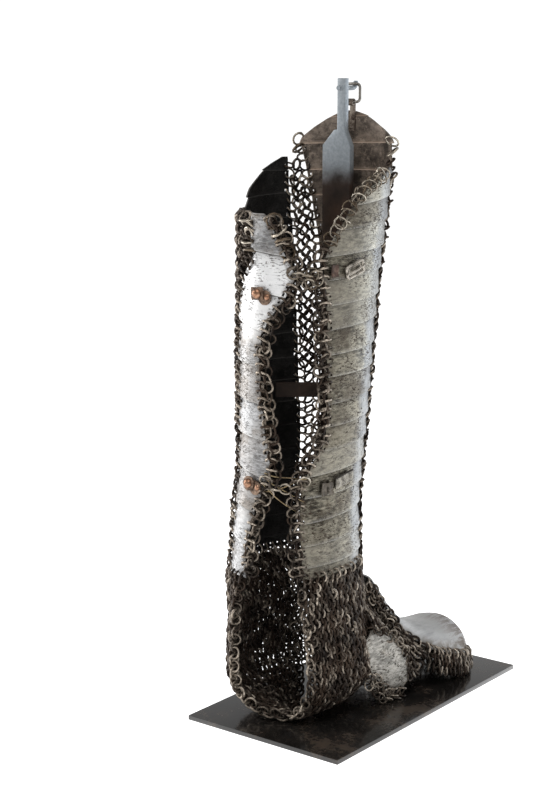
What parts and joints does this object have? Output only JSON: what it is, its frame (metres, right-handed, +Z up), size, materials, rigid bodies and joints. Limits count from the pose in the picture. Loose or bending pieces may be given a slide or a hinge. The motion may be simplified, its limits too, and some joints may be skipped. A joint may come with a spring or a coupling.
{
  "type": "mail and plate greave on its display stand",
  "caption": "Plate greave with embossed lames, joined by strips of mail, with a mail foot and a steel toe cap, hung from a hooked post on a flat base plate.",
  "frame": {"origin": "under the middle of the base plate, on the surface that the stand rests on", "axes": "+Z up the leg, +Y towards the toes, +X towards the outer side of the leg"},
  "size_m": [0.156, 0.28, 0.5365],
  "materials": {
    "plate": "old steel, pitted and stained grey brown",
    "splint": "polished steel with fine dark specks",
    "mail": "dark brown iron rings with worn bright wires",
    "stand": "waxed black and brown steel, semi-gloss",
    "washer": "rusted brown iron",
    "copper": "worn copper rivet heads",
    "leather": "dry brown leather"
  },
  "bodies": {
    "root": {"shin_plate": "plate", "inner_plate": "plate", "outer_plate": "plate", "toe_cap": "plate", "ankle_plate_outer": "plate", "ankle_plate_inner": "plate", "back_splint": "splint", "hanging_link": "mail", "shin_inner_mail": "mail", "shin_outer_mail": "mail", "splint_mail": "mail", "splint_fringe": "mail", "outer_fringe": "mail", "ankle_mail": "mail", "heel_mail": "mail", "instep_mail_outer": "mail", "instep_mail_inner": "mail", "toe_mail": "mail", "buckle_frame": "mail", "buckle_tongue": "mail", "strap_end": "mail", "upper_tie": "mail", "lower_tie": "mail", "base_plate": "stand", "post": "stand", "apex_tab": "washer", "upper_under_washer": "washer", "upper_washer": "washer", "lower_under_washer": "washer", "lower_washer": "washer", "upper_rivet": "copper", "upper_small_rivet": "copper", "lower_rivet": "copper", "lower_small_rivet": "copper", "buckle_chape": "leather", "strap_leather_front": "leather", "strap_leather_back": "leather"}
  },
  "joints": []
}
